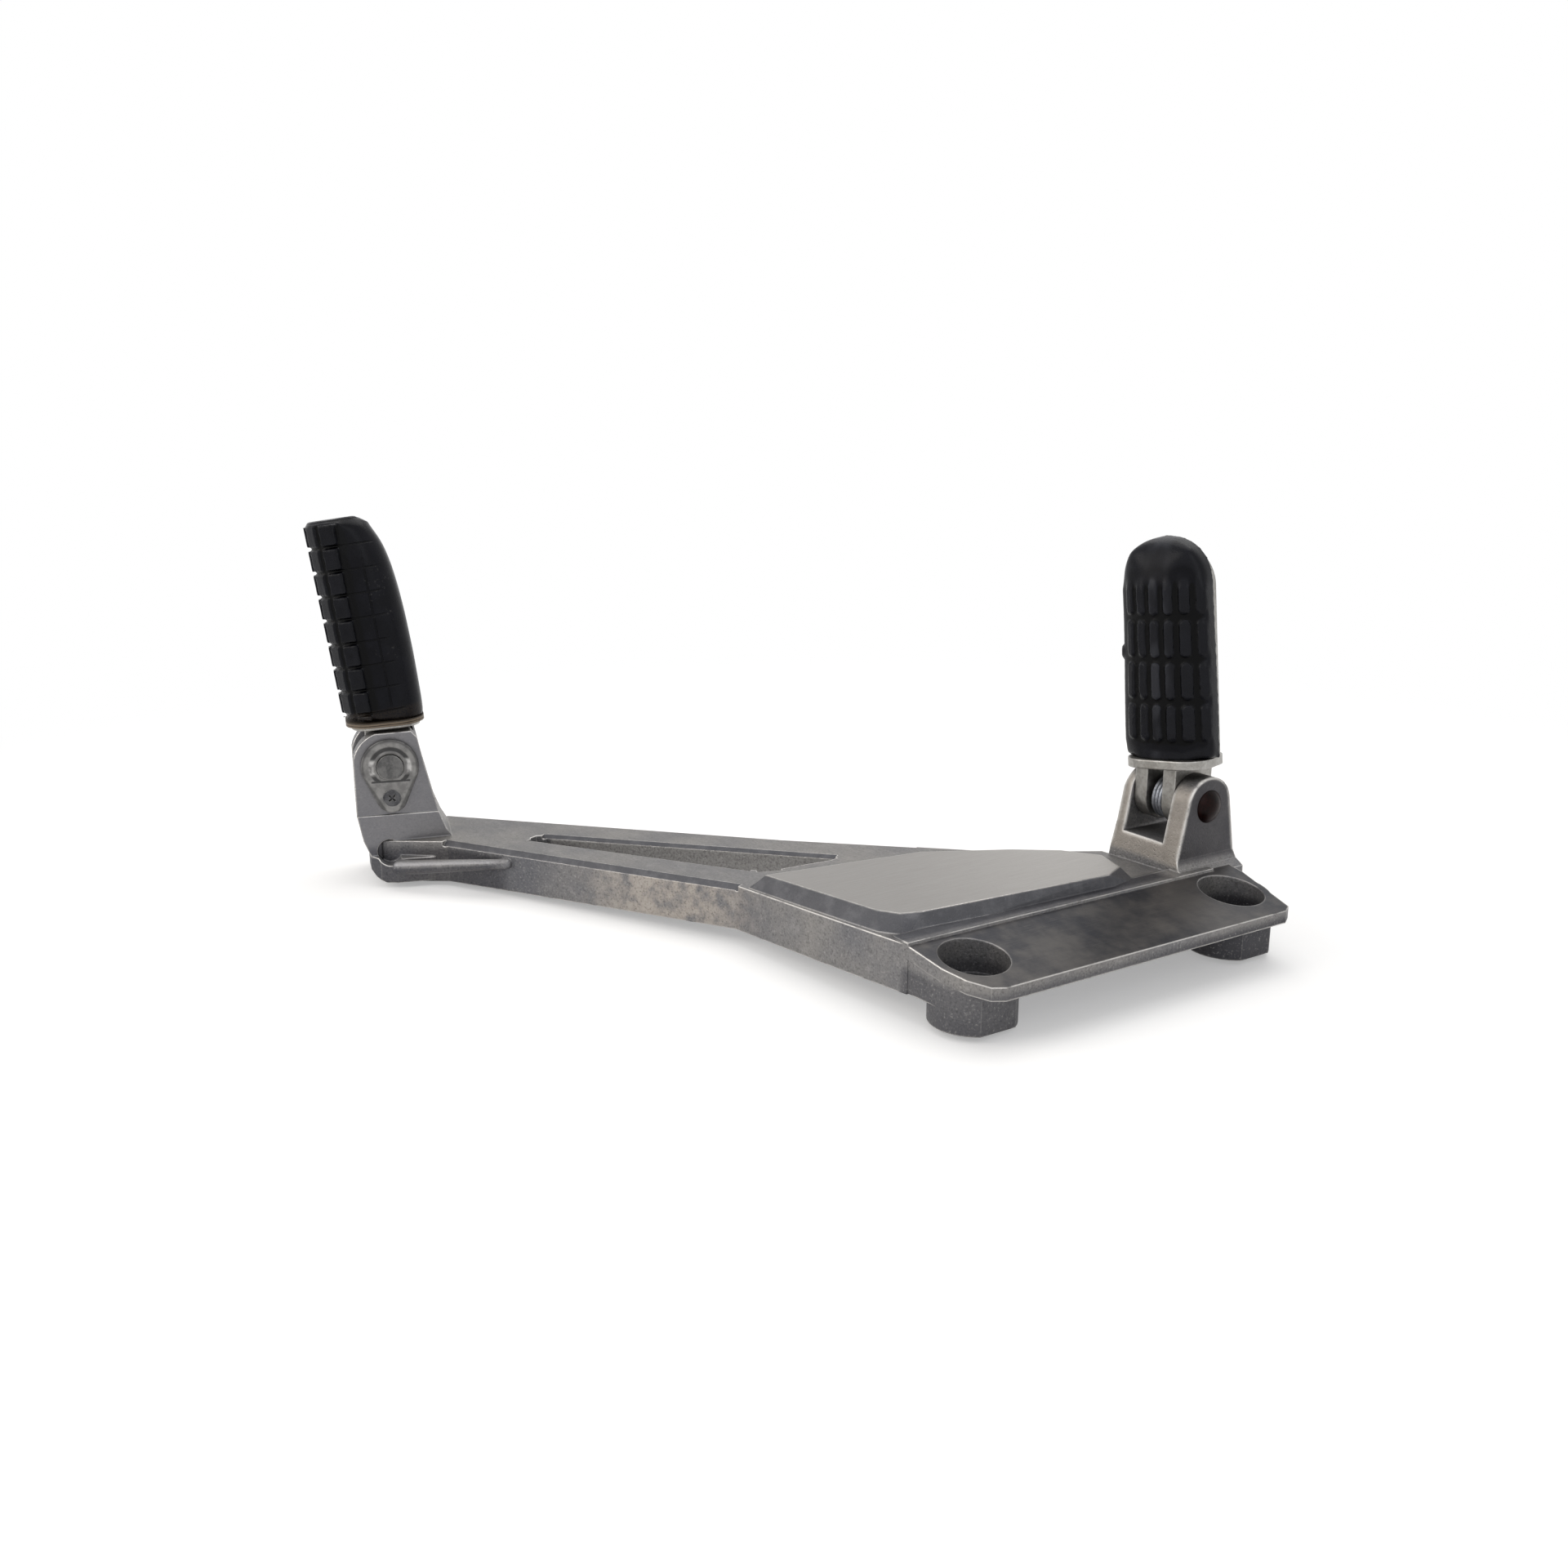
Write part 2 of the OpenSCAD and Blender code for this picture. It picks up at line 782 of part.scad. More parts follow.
module passenger_knobs() {
    // Rows of knobs that wrap round the tread side
    rows = 9;
    pitch = 10.3;
    knob_gap = 1.7;
    knob_w = 6.8;
    wrap_r = 17.6;
    for (row = [0 : rows - 1], turn = [-60 : 30 : 60])
        translate([0, wrap_r - 15.6, row * pitch - 4])
            rotate([0, 0, turn])
                translate([-knob_w / 2, -wrap_r, 0])
                    cube([knob_w, 6, pitch - knob_gap]);
}

module passenger_peg_rubber() {
    l = pass_rubber_l;
    top = l - 0.1;
    color([0.07, 0.07, 0.08])
        difference() {
            pass_peg_frame()
                difference() {
                    union() {
                        hull() {
                            translate([0, 0, -3])
                                linear_extrude(0.1)
                                    pass_section(30, -13.8, 19.2, 12);
                            translate([0, 0, 0.6 * l])
                                linear_extrude(0.1)
                                    pass_section(30, -13.8, 19.8, 12);
                            translate([0, 0, 0.81 * l])
                                linear_extrude(0.1)
                                    pass_section(29, -13.8, 17.6, 11);
                            translate([0, 0, l - 3.4])
                                linear_extrude(0.1)
                                    pass_section(26, -13.8, 11.6, 9);
                            translate([0, 0, top])
                                linear_extrude(0.1)
                                    pass_section(21, -13, 7, 7);
                        }
                        intersection() {
                            passenger_knobs();
                            translate([-30, -30, -3])
                                cube([60, 60, l + 3]);
                        }
                    }
                    translate([0, 0, -4])
                        linear_extrude(bar_end + 4 + pin_fit)
                            bar_section(pin_fit);
                    translate([0, pass_base_y, 0]) {
                        cylinder(r = bolt_r + 0.3, h = l + 5);
                        translate([0, 0, bolt_seat])
                            cylinder(r = 6.6, h = 20);
                    }
                }
            // Cut square on the base plate
            pass_shoulder_frame()
                translate([-40, -40, shoulder_t + base_t - 20])
                    cube([80, 80, 20]);
        }
}

module passenger_rubber_bolt() {
    color("dimgray")
        pass_peg_frame()
            translate([0, pass_base_y, 0]) {
                translate([0, 0, bar_end - 15])
                    cylinder(r = bolt_r, h = bolt_seat + 1.2 - bar_end + 15);
                translate([0, 0, bolt_seat + 1.2])
                    difference() {
                        cylinder(r = 4.8, h = 4);
                        translate([0, 0, 1.8])
                            cylinder(r = 2.4, h = 4, $fn = 6);
                    }
            }
}

module passenger_bolt_washer() {
    color("gray")
        pass_peg_frame()
            translate([0, pass_base_y, bolt_seat])
                difference() {
                    cylinder(r = 6, h = 1.2);
                    translate([0, 0, -1])
                        cylinder(r = bolt_r + pin_fit, h = 4);
                }
}

module passenger_pivot_pin() {
    // The visible end is cut away at the sides to key into the lock plate
    color([0.62, 0.6, 0.58])
        pass_hinge()
            difference() {
                union() {
                    bar_x(pass_pin_r, gap_back - 7.5, -step_d);
                    bar_x(pass_pin_r - 0.3, -step_d - 1, tear_t + 0.6);
                }
                translate([-step_d, -10, -pass_pin_r - 5.8])
                    cube([10, 20, 7]);
            }
}

module passenger_lock_plate() {
    color([0.66, 0.65, 0.63])
        pass_frame()
            difference() {
                union() {
                    translate([0, 0, pass_pivot_z])
                        bar_x(tear_r, -step_d, tear_t - step_d);
                    translate([0, 0, lock_screw_z])
                        bar_x(tear_foot_r, -step_d, tear_t - step_d);
                    translate([-step_d, 0, 0])
                        rotate([90, 0, 90])
                            linear_extrude(tear_t)
                                polygon([[-11.2, pass_pivot_z - 5.3], [11.2, pass_pivot_z - 5.3],
                                    [5.97, lock_screw_z - 2.8], [-5.97, lock_screw_z - 2.8]]);
                }
                difference() {
                    translate([0, 0, pass_pivot_z])
                        bar_x(pass_pin_r - 0.2, -5, 10);
                    translate([-10, -10, pass_pivot_z - pass_pin_r - 5.9])
                        cube([20, 20, 7]);
                }
                translate([0, 0, lock_screw_z]) {
                    bar_x(2.05, -5, 10);
                    translate([tear_t - step_d - 1.9, 0, 0])
                        rotate([0, 90, 0])
                            cylinder(r1 = 2.05, r2 = 4, h = 1.95);
                }
            }
}

module passenger_lock_screw() {
    color("dimgray")
        pass_frame()
            translate([0, 0, lock_screw_z])
                difference() {
                    union() {
                        bar_x(2, gap_front + 2.4, tear_t - step_d - 1.5);
                        translate([tear_t - step_d - 1.9, 0, 0])
                            rotate([0, 90, 0])
                                cylinder(r1 = 2, r2 = 3.9, h = 1.9);
                    }
                    for (turn = [45, -45])
                        rotate([turn, 0, 0])
                            translate([tear_t - step_d - 1.2, -0.45, -1.9])
                                cube([5, 0.9, 3.8]);
                }
}

module passenger_detent_ball() {
    color("lightgray")
        pass_hinge()
            translate([tongue_mid, 0, ball_z])
                sphere(r = ball_r, $fn = 48);
}

module passenger_detent_spring() {
    // Close-wound turns under the ball
    color("gray")
        pass_hinge()
            for (i = [0 : detent_turns - 1])
                translate([tongue_mid, 0, detent_floor + 0.1 + (2 * i + 1) * detent_wire_r * 0.98])
                    rotate_extrude($fn = 32)
                        translate([2.2, 0])
                            circle(r = detent_wire_r, $fn = 16);
}

module passenger_thrust_washer() {
    color("gray")
        pass_hinge()
            difference() {
                bar_x(10, gap_back + 0.1, gap_back + 0.9);
                bar_x(pass_pin_r + pin_fit, gap_back - 2, gap_back + 3);
            }
}

bracket();
rider_peg_core();
rider_peg_rubber();
rider_rubber_screws();
rider_screw_washers();
rider_pivot_pin();
rider_pin_washer();
rider_split_pin();
rider_spring_sleeve();
rider_return_spring();
passenger_peg_core();
passenger_peg_rubber();
passenger_base_plate();
passenger_rubber_bolt();
passenger_bolt_washer();
passenger_pivot_pin();
passenger_lock_plate();
passenger_lock_screw();
passenger_detent_ball();
passenger_detent_spring();
passenger_thrust_washer();
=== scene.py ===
import math
import bmesh
import bpy
import numpy as np
from mathutils import Matrix, Vector


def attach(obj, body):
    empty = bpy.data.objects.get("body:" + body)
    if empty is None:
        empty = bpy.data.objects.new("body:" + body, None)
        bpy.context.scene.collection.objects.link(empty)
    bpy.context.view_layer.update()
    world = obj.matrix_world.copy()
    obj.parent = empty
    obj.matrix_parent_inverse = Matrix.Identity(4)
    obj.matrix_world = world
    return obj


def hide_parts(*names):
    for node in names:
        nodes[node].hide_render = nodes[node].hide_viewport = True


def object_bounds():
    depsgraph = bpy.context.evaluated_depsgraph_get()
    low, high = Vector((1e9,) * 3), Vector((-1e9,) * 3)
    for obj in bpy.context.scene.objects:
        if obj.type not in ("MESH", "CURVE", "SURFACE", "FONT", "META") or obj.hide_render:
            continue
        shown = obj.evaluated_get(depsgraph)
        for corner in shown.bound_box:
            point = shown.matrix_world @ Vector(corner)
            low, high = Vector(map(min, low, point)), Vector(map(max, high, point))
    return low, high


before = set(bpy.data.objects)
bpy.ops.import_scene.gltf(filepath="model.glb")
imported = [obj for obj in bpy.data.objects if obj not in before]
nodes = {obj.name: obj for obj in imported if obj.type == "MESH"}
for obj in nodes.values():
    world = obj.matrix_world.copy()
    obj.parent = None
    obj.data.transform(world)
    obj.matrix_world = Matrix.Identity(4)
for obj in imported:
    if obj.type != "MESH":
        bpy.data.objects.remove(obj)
cad_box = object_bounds()
scene = bpy.context.scene

# Places on the CAD model, in its own axes. Lengths are in millimetres here, and MM makes them metres.
MM = 0.001
ARM_PITCH = math.radians(2)
ARM_TOP = 26.5
PAD_TOP = ARM_TOP + 5.9
PAD_X, PAD_Y = (-108, -18), (-98, 47)
RIDGE_X = (-30, -8)
SLOT_X = (-226, -116)
FLANGE_X = -19
HOLE_Y = 65
COUNTERBORE_R = 12.8
CLEVIS_Y, CLEVIS_Z = 50, 29
UPRIGHT_X = -250
FOOT_X, FOOT_TOP = -212, 17
RIDER_HINGE = Vector((-40.5, 72.5, 51.3)) * MM
PASS_HINGE = Vector((-259.3, -185.1, 51.8))
PASS_TURN = math.radians(-15.6)
KNOB_PITCH = 10.517
CENTRE = (-0.12, -0.03, 0.04)

# Sizes of what is made here
WALL_EDGE_R, CLEVIS_EDGE_R = 1.1, 3.0
VOXEL, QUICK_VOXEL = 0.52, 0.9
RELIEF_ROUNDS = 90
WIRE_R, COIL_R, COIL_PITCH, COIL_TURNS, STEPS_A_TURN = 0.86, 8.6, 1.78, 3, 40
FLOOR_R, FLOOR_GAP, FLOOR_FADE = 4, 0.0002, (0.3, 0.62)


def turn(degrees, axis):
    return Matrix.Rotation(math.radians(degrees), 4, axis)


# The two pegs' own frames, with Z along the rubber and Y away from the tread
PASS_PEG = (Matrix.Translation(PASS_HINGE) @ Matrix.Rotation(PASS_TURN, 4, "Z") @ Matrix.Translation((-17.3, 0, 0))
            @ turn(-4, "Y") @ turn(7.1, "X") @ Matrix.Translation((0, 0, 16.3)))
RIDER_PEG = Matrix.Translation((-38, 72.5, 51.3)) @ turn(15, "Z") @ turn(-6.2, "Y") @ Matrix.Translation((0, 0, 17.6))

# Camera, at the photograph's place
cam = bpy.data.cameras.new("camera")
cam.sensor_fit = "HORIZONTAL"
cam.sensor_width = 36
cam.lens = 33.75
cam.clip_start = 0.01
cam_obj = bpy.data.objects.new("camera", cam)
cam_obj.location = (0.367, -0.377, 0.213)
cam_obj.rotation_euler = (math.radians(75), 0, math.radians(57.5))
scene.collection.objects.link(cam_obj)
scene.camera = cam_obj
scene.view_settings.view_transform = "Standard"


class Graph:
    """A small writer of node trees. A value may be a number, a tuple or a socket."""

    def __init__(self, tree):
        self.tree = tree
        tree.nodes.clear()

    def put(self, socket, value):
        if isinstance(value, bpy.types.NodeSocket):
            self.tree.links.new(value, socket)
        elif value is not None:
            if hasattr(socket.default_value, "__len__") and not hasattr(value, "__len__"):
                value = (value,) * len(socket.default_value)
            if hasattr(value, "__len__") and len(socket.default_value) == 4 and len(value) == 3:
                value = (*value, 1)
            socket.default_value = value

    def add(self, kind, *values, **props):
        node = self.tree.nodes.new("ShaderNode" + kind)
        for key, value in props.items():
            setattr(node, key, value)
        for socket, value in zip(node.inputs, values):
            self.put(socket, value)
        return node

    def math(self, op, a, b=None, c=None):
        return self.add("Math", a, b, c, operation=op).outputs[0]

    def vector(self, op, a, b=None):
        node = self.add("VectorMath", a, b, operation=op)
        return node.outputs[1] if op in ("DOT_PRODUCT", "LENGTH") else node.outputs[0]

    def chain(self, op, values):
        out = values[0]
        for value in values[1:]:
            out = self.math(op, out, value)
        return out

    def times(self, *values):
        return self.chain("MULTIPLY", values)

    def plus(self, *values):
        return self.chain("ADD", values)

    def most(self, *values):
        return self.chain("MAXIMUM", values)

    def rest(self, value):
        """What is left up to one."""
        return self.math("SUBTRACT", 1, value)

    def magnitude(self, value):
        return self.math("ABSOLUTE", value)

    def step(self, x, low, high, to_low=0.0, to_high=1.0):
        node = self.add("MapRange", x, low, high, to_low, to_high)
        node.interpolation_type = "SMOOTHSTEP"
        return node.outputs[0]

    def between(self, x, low, high, soft):
        """One from low to high, with ends as soft as they are told."""
        return self.times(self.step(x, low - soft, low + soft), self.step(x, high - soft, high + soft, 1, 0))

    def mix(self, f, a, b, mode="MIX"):
        node = self.add("Mix", data_type="RGBA", blend_type=mode)
        self.put(node.inputs[0], f)
        self.put(node.inputs[6], a)
        self.put(node.inputs[7], b)
        return node.outputs[2]

    def noise(self, where, scale, detail=3.0, rough=0.55):
        node = self.add("TexNoise")
        self.put(node.inputs["Vector"], where)
        self.put(node.inputs["Scale"], scale)
        self.put(node.inputs["Detail"], detail)
        self.put(node.inputs["Roughness"], rough)
        return node.outputs["Fac"]

    def cells(self, where, scale):
        node = self.add("TexVoronoi")
        self.put(node.inputs["Vector"], where)
        self.put(node.inputs["Scale"], scale)
        return node.outputs["Distance"]

    def place(self):
        """The point on the piece, in millimetres."""
        return self.vector("MULTIPLY", self.add("TexCoord").outputs["Object"], (1000, 1000, 1000))

    def split(self, vector):
        return self.add("SeparateXYZ", vector).outputs

    def bump(self, height, depth_mm, normal=None):
        node = self.add("Bump")
        self.put(node.inputs["Strength"], 1.0)
        self.put(node.inputs["Distance"], depth_mm * MM)
        self.put(node.inputs["Height"], height)
        if normal is not None:
            self.put(node.inputs["Normal"], normal)
        return node.outputs[0]

    def soft_edges(self, radius_mm):
        """The rounded normal, and how near the point is to an edge."""
        varies = isinstance(radius_mm, bpy.types.NodeSocket)
        radius = self.times(radius_mm, MM) if varies else radius_mm * MM
        bevel = self.add("Bevel", radius, samples=8).outputs[0]
        flat = self.add("NewGeometry").outputs["Normal"]
        near = self.step(self.vector("DOT_PRODUCT", bevel, flat), 0.995, 0.84)
        return bevel, near

    def occlusion(self, reach_mm):
        """One in a corner, nought on an open face."""
        ao = self.add("AmbientOcclusion", samples=8)
        self.put(ao.inputs["Distance"], reach_mm * MM)
        return self.rest(ao.outputs["AO"])

    def shown_white(self):
        """One for the rays that see the background: the camera's, and those that gloss and glass send on."""
        rays = self.add("LightPath").outputs
        return self.most(rays["Is Camera Ray"], rays["Is Glossy Ray"], rays["Is Transmission Ray"])


def material(name):
    mat = bpy.data.materials.new(name)
    mat.use_nodes = True
    return mat, Graph(mat.node_tree)


def shader(g, color, rough, metal, normal, specular=0.5):
    bsdf = g.add("BsdfPrincipled")
    g.put(bsdf.inputs["Base Color"], color)
    g.put(bsdf.inputs["Roughness"], rough)
    g.put(bsdf.inputs["Metallic"], metal)
    g.put(bsdf.inputs["Specular IOR Level"], specular)
    g.put(bsdf.inputs["Normal"], normal)
    out = g.add("OutputMaterial")
    g.tree.links.new(bsdf.outputs[0], out.inputs[0])


def casting():
    """Sand-cast walls, a ground top and pad, chamfers darkened as painted shade, and edges lightened as wear and
    painted highlight.
    """
    mat, g = material("cast_aluminium")
    p = g.place()
    x, y, z = g.split(p)[:3]
    nx, ny, nz = g.split(g.add("NewGeometry").outputs["Normal"])[:3]
    level = g.plus(g.times(x, -math.sin(ARM_PITCH)), g.times(z, math.cos(ARM_PITCH)))
    near_clevis = g.times(g.step(y, CLEVIS_Y, CLEVIS_Y + 3), g.step(z, CLEVIS_Z, CLEVIS_Z + 4))
    bevel, edge = g.soft_edges(g.plus(WALL_EDGE_R, g.times(near_clevis, CLEVIS_EDGE_R - WALL_EDGE_R)))

    cloud = g.noise(p, 0.035, 3)
    blotch = g.noise(p, 0.16, 4, 0.62)
    grain = g.noise(p, 1.1, 3, 0.7)
    pits = g.step(g.cells(p, 0.62), 0.05, 0.34)
    streak = g.noise(g.vector("MULTIPLY", p, (0.05, 0.35, 1.4)), 1.0, 4, 0.65)
    scratch = g.noise(g.vector("MULTIPLY", p, (2.6, 0.07, 2.6)), 1.0, 3, 0.7)

    # Walls as cast: mid grey, cooler at the arm's thin end and on the bosses, with a warm patch in between; on the
    # faces towards -Y the warm patch and the cooler thin end are painted reflection
    wall = g.mix(g.step(cloud, 0.25, 0.75), (0.18, 0.18, 0.19), (0.27, 0.26, 0.25))
    warm_reflection = g.times(g.between(x, -168, -108, 22), g.step(ny, -0.6, -0.85), g.step(blotch, 0.3, 0.62))
    wall = g.mix(g.times(warm_reflection, 0.75), wall, (0.47, 0.42, 0.37))
    cool_reflection = g.times(g.step(x, -170, -205), g.step(ny, -0.5, -0.8), 0.6)
    wall = g.mix(cool_reflection, wall, (0.12, 0.123, 0.137))
    wall = g.mix(g.times(g.step(blotch, 0.52, 0.72), 0.22), wall, (0.42, 0.41, 0.4))
    boss = g.times(g.step(z, 19, 15), g.step(x, FLANGE_X - 1, FLANGE_X + 3))
    wall = g.mix(g.times(boss, 0.75), wall, g.mix(cloud, (0.04, 0.04, 0.048), (0.14, 0.14, 0.152)))
    wall = g.mix(g.times(boss, g.step(y, 0, 40)), wall, (0.6, 0.6, 0.62), "MULTIPLY")
    wall = g.mix(g.times(g.step(grain, 0.5, 0.3), 0.55), wall, (0.06, 0.058, 0.06))
    wall = g.mix(g.times(g.step(grain, 0.56, 0.72), 0.4), wall, (0.5, 0.48, 0.46))

    # The arm's top and the pad are ground; the pad is paler towards the rider's end, which is painted light
    up = g.step(nz, 0.9, 0.985)
    pad = g.times(up, g.step(level, PAD_TOP - 0.4, PAD_TOP - 0.15), g.step(y, CLEVIS_Y, CLEVIS_Y - 3))
    top = g.times(up, g.between(level, ARM_TOP, ARM_TOP, 0.35))
    ground = g.mix(g.step(scratch, 0.2, 0.8), (0.25, 0.238, 0.226), (0.295, 0.285, 0.275))
    ground = g.mix(g.step(g.plus(y, g.times(x, 0.5)), -95, 20), ground, (1.42, 1.42, 1.42), "MULTIPLY")
    ground = g.mix(g.times(g.step(grain, 0.44, 0.3), 0.35), ground, (0.2, 0.19, 0.18))
    dull = g.mix(g.step(streak, 0.3, 0.7), (0.07, 0.063, 0.053), (0.165, 0.153, 0.137))
    color = g.mix(top, wall, dull)
    color = g.mix(pad, color, ground)

    # The pad's sloping border and the chamfers are dark: painted shade
    inside = g.times(g.between(x, *PAD_X, 1.5), g.between(y, *PAD_Y, 1.5))
    border = g.times(inside, g.between(level, ARM_TOP + 0.3, PAD_TOP - 0.35, 0.15))
    chamfer = g.times(g.between(nz, 0.55, 0.86, 0.06), g.between(level, ARM_TOP - 2.3, ARM_TOP - 0.05, 0.2),
                      g.step(x, -58, -64))
    shade = g.most(border, chamfer)
    dark = g.mix(g.step(blotch, 0.4, 0.7), (0.087, 0.088, 0.097), (0.12, 0.121, 0.131))
    color = g.mix(g.times(shade, 0.94), color, dark)

    # The sloping flange is smooth and brownish, darkened as a painted dark reflection, and the ridge beside it is
    # darker than the walls
    flange = g.times(g.step(nx, 0.1, 0.14), g.between(nz, 0.96, 0.995, 0.01), g.step(x, FLANGE_X, FLANGE_X + 3))
    flange_tint_and_reflection = g.step(g.plus(g.times(cloud, 0.7), g.times(blotch, 0.3)), 0.35, 0.68)
    flange_tint_and_reflection = g.mix(flange_tint_and_reflection, (0.03, 0.031, 0.038), (0.1, 0.094, 0.09))
    flange_tint_and_reflection = g.mix(g.times(g.step(scratch, 0.55, 0.8), 0.3), flange_tint_and_reflection, (0.2, 0.19, 0.18))
    color = g.mix(flange, color, flange_tint_and_reflection)
    ridge = g.times(g.step(x, RIDGE_X[0], RIDGE_X[0] + 5), g.step(x, RIDGE_X[1], RIDGE_X[1] - 4),
                    g.step(nz, 0.6, 0.9), g.step(y, CLEVIS_Y + 2, CLEVIS_Y - 2), g.rest(g.most(pad, flange)))
    color = g.mix(ridge, color, (0.6, 0.6, 0.62), "MULTIPLY")

    # The clevis: painted warm light on its front, on the side of the spring, and painted shade on the outer ear
    ear = g.times(g.step(nx, 0.8, 0.95), g.step(x, -24, -21.5), g.step(y, CLEVIS_Y, CLEVIS_Y + 4),
                  g.step(z, CLEVIS_Z - 1, CLEVIS_Z + 2))
    color = g.mix(g.times(ear, 0.85), color, g.mix(blotch, (0.042, 0.041, 0.048), (0.075, 0.072, 0.077)))
    front = g.times(g.step(ny, -0.6, -0.9), g.step(y, CLEVIS_Y, CLEVIS_Y + 3), g.step(z, CLEVIS_Z - 2, CLEVIS_Z + 1))
    color = g.mix(g.times(front, 0.7), color, g.mix(blotch, (0.22, 0.195, 0.165), (0.43, 0.39, 0.345)))

    # Machined face of the upright
    face = g.times(g.step(x, UPRIGHT_X, UPRIGHT_X - 4), g.step(nx, 0.86, 0.93), g.step(z, 8, 12))
    color = g.mix(g.times(face, 0.7), color, g.mix(streak, (0.16, 0.161, 0.178), (0.24, 0.238, 0.25)))

    # The slot's far wall is pale and grainy
    slot = g.times(g.between(x, *SLOT_X, 1), g.between(level, 9, ARM_TOP - 1.7, 0.4), g.step(nz, 0.5, 0.3),
                   g.step(ny, -0.3, -0.5), g.step(g.plus(y, g.times(x, -0.72)), 8, 12))
    color = g.mix(slot, color, g.mix(g.step(grain, 0.3, 0.6), (0.26, 0.25, 0.245), (0.44, 0.43, 0.42)))

    # The foot and its rib: a painted highlight on the faces that rise and painted shade on those that face down
    foot = g.times(g.step(x, FOOT_X, FOOT_X - 6), g.step(z, FOOT_TOP, FOOT_TOP - 4))
    rising = g.split(bevel)[2]
    color = g.mix(g.times(foot, g.step(rising, 0.35, -0.1)), color, (0.5, 0.5, 0.53), "MULTIPLY")
    color = g.mix(g.times(foot, g.between(rising, 0.45, 0.95, 0.12), 0.5), color, (0.4, 0.4, 0.42))

    # Painted shade in the corners, and deeper painted shade inside the clevis
    hidden = g.occlusion(5)
    color = g.mix(g.times(g.step(hidden, 0.3, 0.95), 0.7, g.rest(slot)), color, (0.03, 0.028, 0.028))
    deep = g.times(near_clevis, g.step(g.occlusion(16), 0.42, 0.72), g.step(nx, 0.75, 0.5))
    color = g.mix(g.times(deep, 0.85), color, (0.015, 0.014, 0.014))

    # Edges lightened as wear and painted highlight, fewer round the counterbores and none where the arm's wall meets
    # the flange's skirt
    hole = g.add("CombineXYZ", x, g.math("SUBTRACT", g.magnitude(y), HOLE_Y)).outputs[0]
    hole = g.step(g.vector("LENGTH", hole), COUNTERBORE_R + 2.8, COUNTERBORE_R + 1.8)
    seam = g.times(g.between(x, FLANGE_X, -12, 1), g.step(y, -72, -76), g.step(z, 23, 20))
    edge_wear_and_highlight = g.times(edge, g.rest(g.most(g.times(hole, 0.75), seam)), g.step(blotch, 0.25, 0.5),
                   g.rest(g.times(shade, 0.75)), g.step(hidden, 0.3, 0.14))
    color = g.mix(g.times(edge_wear_and_highlight, 0.9), color, (0.86, 0.835, 0.8))

    smooth = g.most(pad, top, flange, face)
    rough = g.plus(0.4, g.times(grain, 0.12), g.times(smooth, -0.06), g.times(edge_wear_and_highlight, -0.14), g.times(top, 0.16))
    cast = g.times(g.rest(smooth), g.plus(grain, g.times(pits, 0.5)))
    normal = g.bump(cast, 0.14, bevel)
    normal = g.bump(g.times(smooth, g.plus(scratch, streak)), 0.018, normal)
    shader(g, color, rough, 0.6, normal, 0.12)
    return mat


def metal(name, low, high, corner_shade_color, rough=0.42, radius=0.5, edge_wear_and_highlight_color=(0.6, 0.59, 0.57), edge_wear_and_highlight=0.5,
          metallic=0.75, depth=0.03, reach=3, specular=0.3):
    """A small metal piece: two tones, painted shade in the corners and edges lightened as wear and painted highlight.
    """
    mat, g = material(name)
    p = g.place()
    bevel, edge = g.soft_edges(radius)
    wide = g.noise(p, 0.2, 4, 0.6)
    fine = g.noise(p, 0.9, 3, 0.65)
    color = g.mix(g.step(g.plus(g.times(wide, 0.6), g.times(fine, 0.4)), 0.36, 0.64), low, high)
    # Painted shade in the corners
    occlusion = g.step(g.occlusion(reach), 0.3, 0.9)
    color = g.mix(g.times(occlusion, 0.75), color, corner_shade_color)
    # Edges lightened as wear and painted highlight, away from the shaded corners
    edge = g.times(edge, g.step(wide, 0.3, 0.6), g.step(occlusion, 0.7, 0.2))
    color = g.mix(g.times(edge, edge_wear_and_highlight), color, edge_wear_and_highlight_color)
    shader(g, color, g.plus(rough, g.times(fine, 0.16)), metallic, g.bump(fine, depth, bevel), specular)
    return mat


